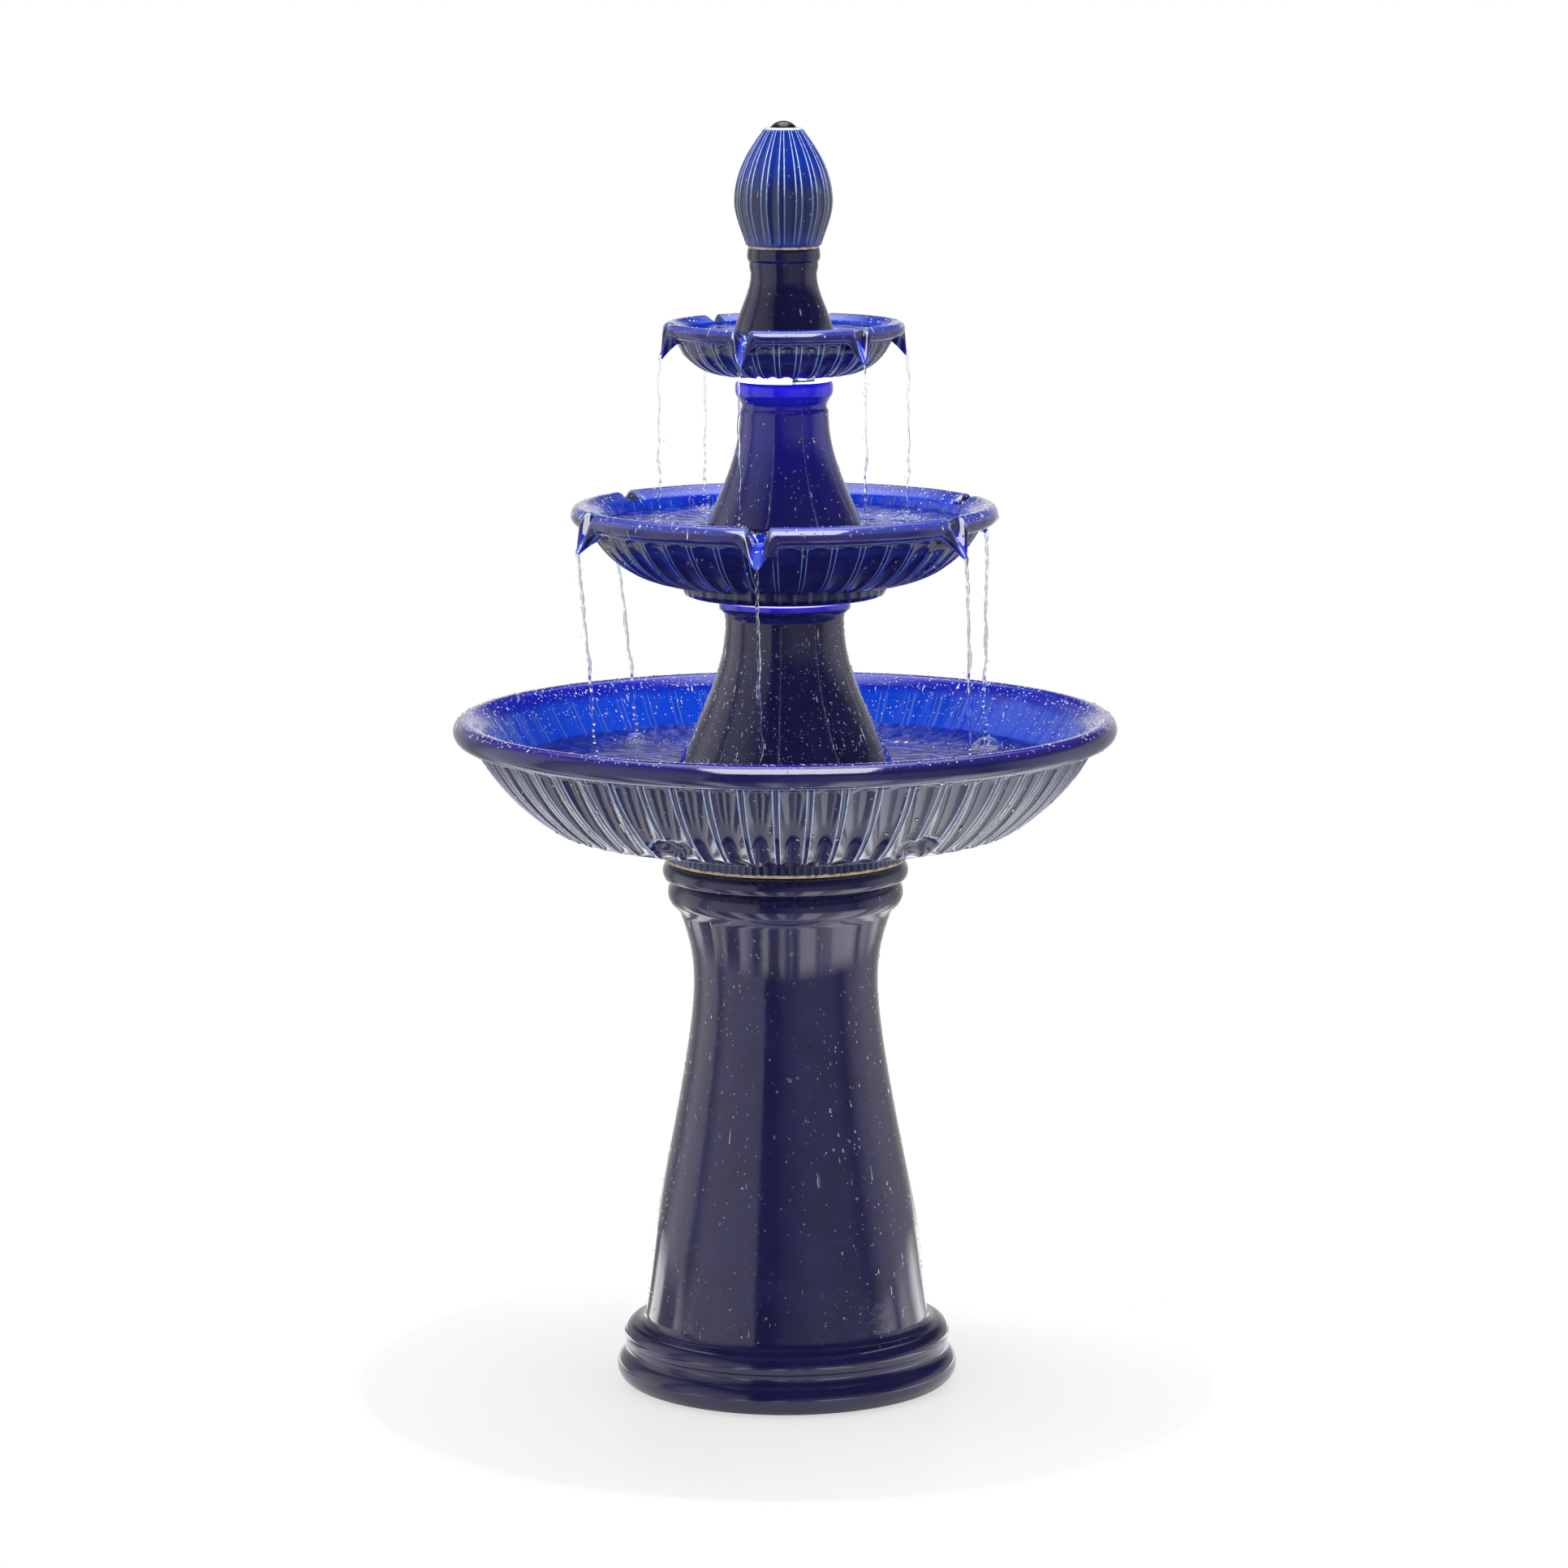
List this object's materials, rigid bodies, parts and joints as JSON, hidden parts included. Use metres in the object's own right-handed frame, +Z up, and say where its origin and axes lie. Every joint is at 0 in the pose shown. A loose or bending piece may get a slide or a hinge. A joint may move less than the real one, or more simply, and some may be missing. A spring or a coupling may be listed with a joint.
{
  "type": "three-tier pedestal fountain",
  "caption": "Floor-standing tiered ceramic fountain: fluted bowls with pouring spouts on flared stems over a wide basin, round pedestal, bud finial, hidden pump and ring lights.",
  "frame": {"origin": "centre of the fountain's footprint, at the underside of the foot pads", "axes": "+Z up along the fountain's axis; -Y towards the front, +X to the right as seen from the front"},
  "size_m": [0.6004, 0.6004, 1.1502],
  "materials": {
    "glaze": "gloss",
    "deep_glaze": "gloss",
    "rubber": "matte",
    "nozzle_rubber": "satin",
    "hose": "satin",
    "pump_plastic": "satin",
    "dial_plastic": "satin",
    "cable": "satin",
    "light_ring": "frosted",
    "board": "satin",
    "lamp": "gloss",
    "steel": "brushed",
    "shaft_ceramic": "polished"
  },
  "bodies": {
    "base": {"pedestal": "glaze", "basin": "glaze", "mid_bowl": "glaze", "top_bowl": "glaze", "lower_stem": "deep_glaze", "mid_stem": "deep_glaze", "top_stem": "deep_glaze", "pedestal_gasket": "rubber", "cord_bung": "rubber", "mid_grommet": "rubber", "top_grommet": "rubber", "foot_pad_1": "rubber", "foot_pad_2": "rubber", "foot_pad_3": "rubber", "foot_pad_4": "rubber", "nozzle_cap": "nozzle_rubber", "riser_hose": "hose", "suction_cup_1": "hose", "suction_cup_2": "hose", "suction_cup_3": "hose", "suction_cup_4": "hose", "pump_housing": "pump_plastic", "volute_cover": "pump_plastic", "outlet_barb": "pump_plastic", "light_lead": "cable", "lower_light_tail": "cable", "upper_light_tail": "cable", "pump_lead": "cable", "lower_light_ring": "light_ring", "upper_light_ring": "light_ring", "lower_light_board": "board", "upper_light_board": "board", "lower_lamp_1": "lamp", "lower_lamp_2": "lamp", "lower_lamp_3": "lamp", "lower_lamp_4": "lamp", "lower_lamp_5": "lamp", "lower_lamp_6": "lamp", "upper_lamp_1": "lamp", "upper_lamp_2": "lamp", "upper_lamp_3": "lamp", "upper_lamp_4": "lamp", "upper_lamp_5": "lamp", "upper_lamp_6": "lamp", "hose_clamp": "steel", "impeller_shaft": "shaft_ceramic"},
    "finial": {"finial": "glaze"},
    "strainer": {"strainer_cover": "pump_plastic"},
    "dial": {"flow_dial": "dial_plastic"},
    "impeller": {"impeller": "pump_plastic"}
  },
  "joints": [
    {"name": "finial_lift", "type": "slide", "parent": "base", "child": "finial", "axis": [0, 0, 1], "range_m": [0, 0.06]},
    {"name": "strainer_pull", "type": "slide", "parent": "base", "child": "strainer", "axis": [-1, 0, 0], "range_m": [0, 0.02]},
    {"name": "dial_turn", "type": "hinge", "parent": "strainer", "child": "dial", "pos_m": [-0.04, 0, 0.5485], "axis": [1, 0, 0], "range_deg": [0, 270]},
    {"name": "impeller_spin", "type": "hinge", "parent": "base", "child": "impeller", "pos_m": [0, 0, 0.5485], "axis": [1, 0, 0], "continuous": true}
  ]
}
